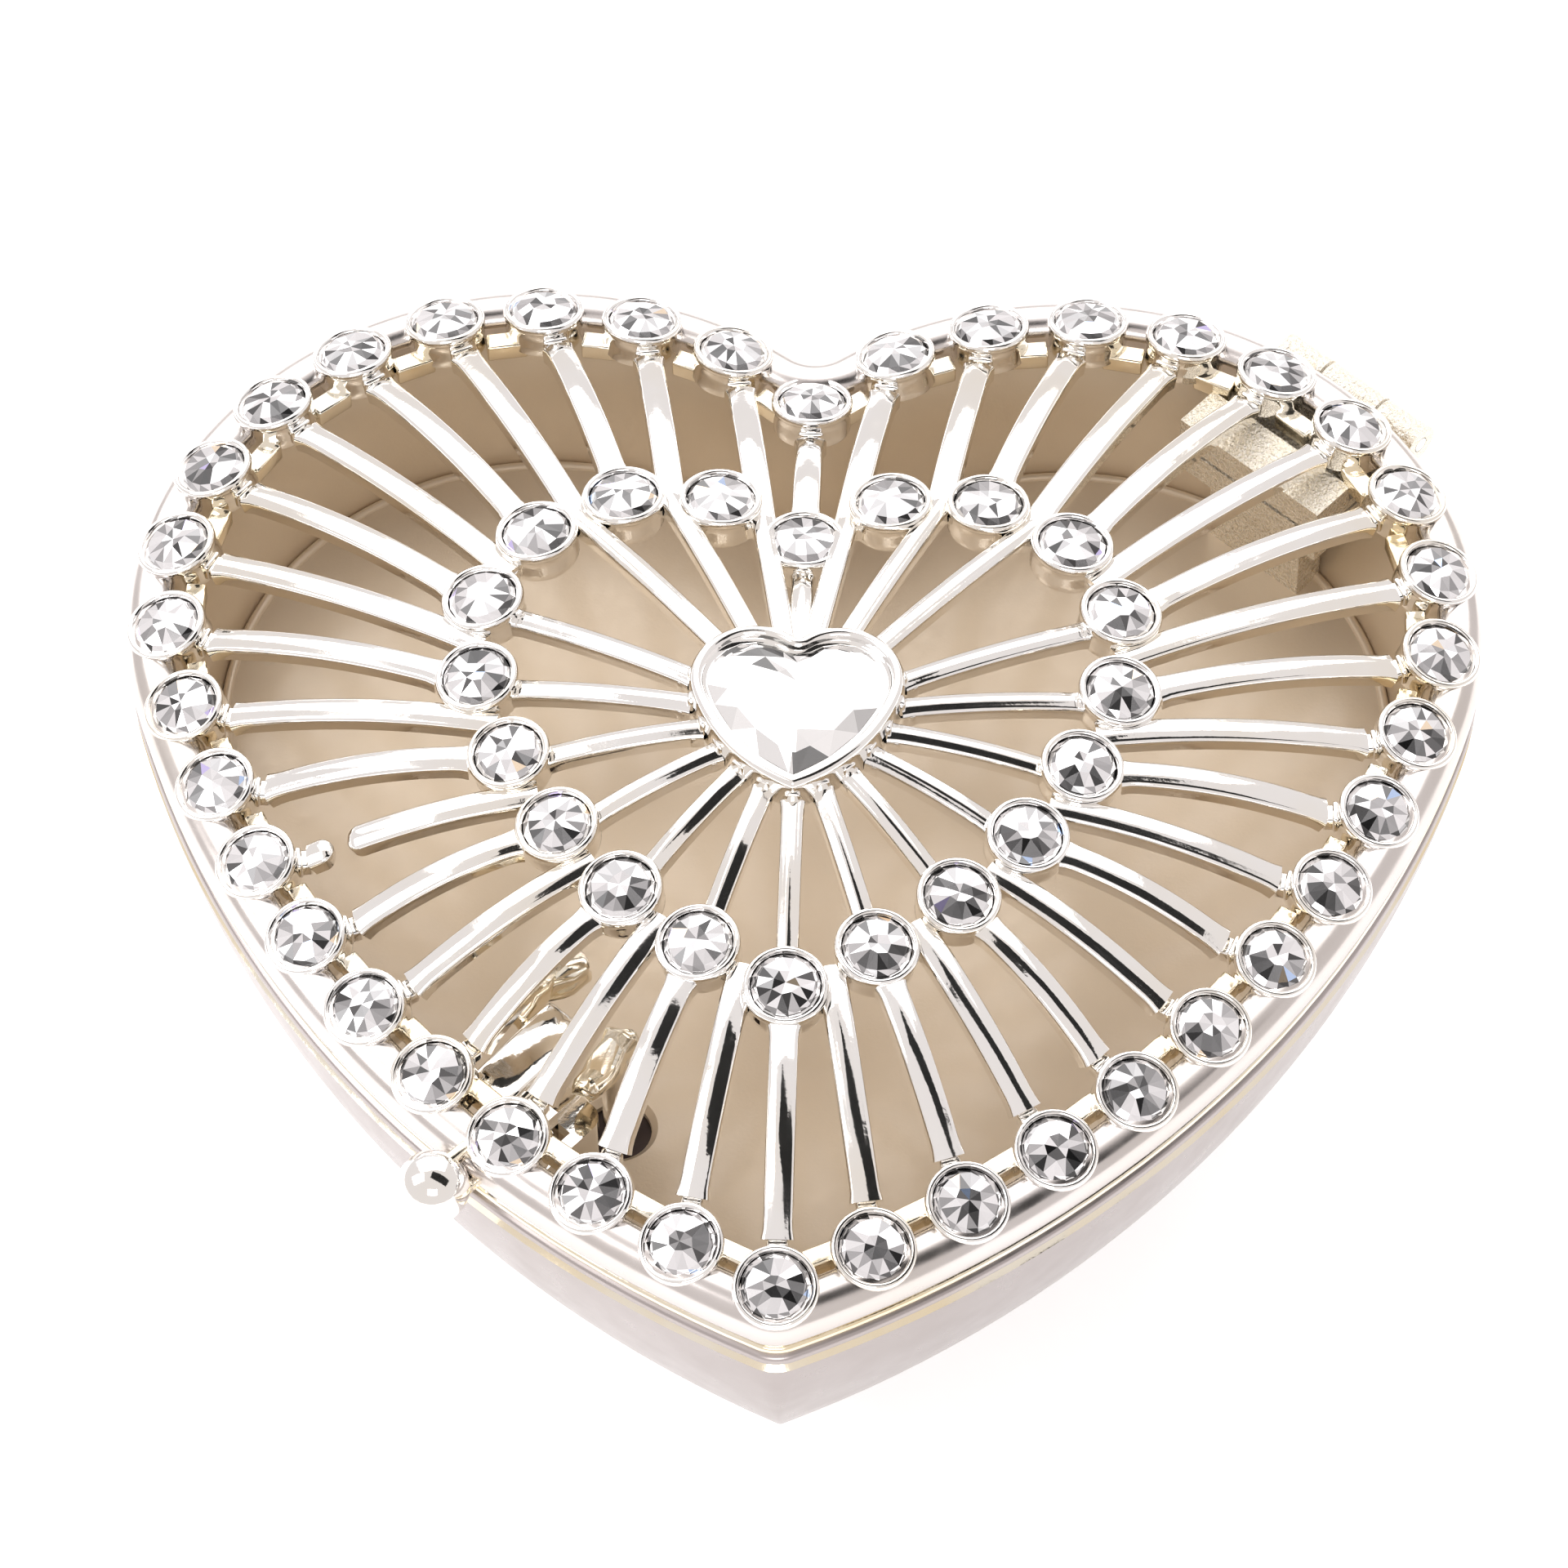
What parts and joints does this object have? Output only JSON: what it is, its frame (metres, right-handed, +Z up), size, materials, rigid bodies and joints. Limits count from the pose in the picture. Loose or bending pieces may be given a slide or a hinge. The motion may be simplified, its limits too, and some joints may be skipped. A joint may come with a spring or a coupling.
{
  "type": "wind-up music box",
  "caption": "Heart-shaped plated music box with a crystal-set openwork domed lid, hinged over a shallow tray, and a wind-up comb movement below.",
  "frame": {"origin": "centre of the heart outline's box, on the plane that the felt ring rests on", "axes": "+X right, +Y from the tip of the heart to its cleft, +Z up"},
  "size_m": [0.086, 0.0798, 0.0441],
  "materials": {
    "silver_plate": "bright silver plate over cast zinc",
    "cast_pads": "as-cast zinc under thin silver plate",
    "tray": "champagne-tinted plated sheet",
    "crystal": "cut clear glass, foiled back",
    "cover": "stamped sheet steel, nickel plated",
    "felt": "felt",
    "steel": "bright steel",
    "brass": "turned brass",
    "gold_plate": "gold-lacquered zinc",
    "plastic": "white acetal"
  },
  "bodies": {
    "base": {"base_shell": "silver_plate", "tray_floor": "tray", "bottom_cover": "cover", "cover_screws": "steel", "felt_ring": "felt", "hinge_leaf_base": "cast_pads", "hinge_pin": "silver_plate", "catch_strike": "silver_plate", "bedplate": "gold_plate", "plate_screws": "steel", "spring_housing": "gold_plate", "mainspring": "steel", "bearings": "brass", "comb_block": "gold_plate", "comb": "steel", "comb_screws": "steel", "governor_frame": "brass", "stop_guide": "brass", "stop_blade": "steel"},
    "lid": {"lid_rim": "silver_plate", "lid_lattice": "silver_plate", "outer_stones": "crystal", "inner_stones": "crystal", "heart_stone": "crystal", "hinge_leaf_lid": "cast_pads", "catch_tongue": "silver_plate", "thumb_ball": "silver_plate"},
    "winder": {"winding_key": "gold_plate", "winding_arbor": "steel", "drive_wheel": "brass"},
    "cylinder": {"note_cylinder": "brass", "cylinder_pins": "steel", "cylinder_arbor": "steel", "crown_pinion": "brass", "train_gear": "brass"},
    "second_shaft": {"second_arbor": "steel", "second_pinion": "brass", "worm_wheel": "plastic"},
    "governor": {"governor_worm": "steel", "governor_fly": "plastic"},
    "stop": {"stop_pin": "steel"}
  },
  "joints": [
    {"name": "lid_hinge", "type": "hinge", "parent": "base", "child": "lid", "pos_m": [0.03494, 0.03445, 0.0321], "axis": [-0.7547, 0.6561, 0], "range_deg": [0, 105]},
    {"name": "stop_slide", "type": "slide", "parent": "base", "child": "stop", "axis": [0, 0, 1], "range_m": [0, 0.0025]},
    {"name": "winding", "type": "hinge", "parent": "base", "child": "winder", "pos_m": [0.0115, 0.009, 0.0056], "axis": [0, 0, 1], "continuous": true},
    {"name": "cylinder_turn", "type": "hinge", "parent": "base", "child": "cylinder", "pos_m": [-0.015, 0.009, 0.0173], "axis": [1, 0, 0], "continuous": true},
    {"name": "second_turn", "type": "hinge", "parent": "base", "child": "second_shaft", "pos_m": [-0.0176, 0.01505, 0.0173], "axis": [1, 0, 0], "continuous": true},
    {"name": "governor_turn", "type": "hinge", "parent": "base", "child": "governor", "pos_m": [-0.0205, 0.0097, 0.0173], "axis": [0, 0, 1], "continuous": true}
  ],
  "couplings": [
    {"joint": "stop_slide", "follows": "lid_hinge", "m_per_rad": 0.00136},
    {"joint": "cylinder_turn", "follows": "winding", "ratio": -3},
    {"joint": "second_turn", "follows": "winding", "ratio": 6},
    {"joint": "governor_turn", "follows": "winding", "ratio": 96}
  ]
}
